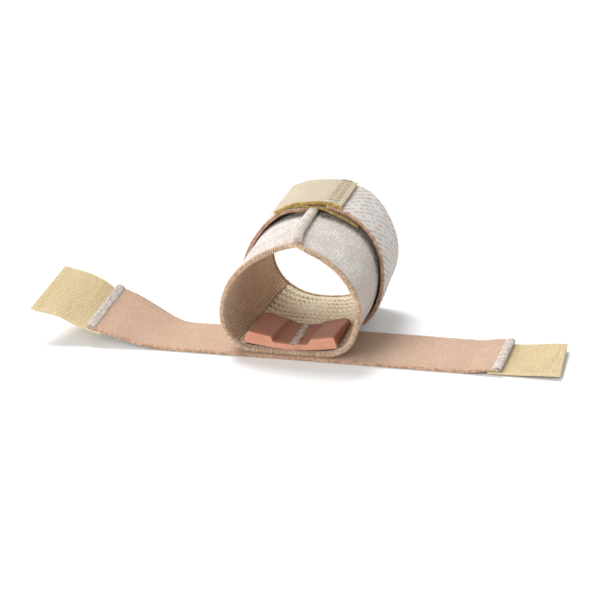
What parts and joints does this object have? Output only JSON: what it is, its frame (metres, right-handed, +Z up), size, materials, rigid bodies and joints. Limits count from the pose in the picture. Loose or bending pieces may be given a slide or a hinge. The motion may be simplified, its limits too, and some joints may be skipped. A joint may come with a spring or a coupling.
{
  "type": "wrist support",
  "caption": "Elastic wrist support sleeve with a knitted underside, a shaped inner pressure pad and hook-tabbed straps, one wrapped closed and one lying open.",
  "frame": {"origin": "middle of the open strap's flat underside, on the surface the part lies on", "axes": "+X along the open strap towards its flat end, +Y along the sleeve away from the pressure pad's near edge, +Z up"},
  "size_m": [0.2273, 0.078, 0.058],
  "materials": {
    "sleeve_fabric": "ribbed elastic, matte",
    "knit": "open coarse knit, matte",
    "silicone": "smooth, satin",
    "strap_elastic": "woven elastic, matte",
    "hook_tape": "fine hooks in rows, matte"
  },
  "bodies": {
    "root": {"sleeve": "sleeve_fabric", "knit_panel": "knit", "seam_ridge": "sleeve_fabric", "pressure_pad": "silicone", "open_strap": "strap_elastic", "closed_strap": "strap_elastic", "open_left_hook_tab": "hook_tape", "open_right_hook_tab": "hook_tape", "closed_under_hook_tab": "hook_tape", "closed_top_hook_tab": "hook_tape"}
  },
  "joints": []
}
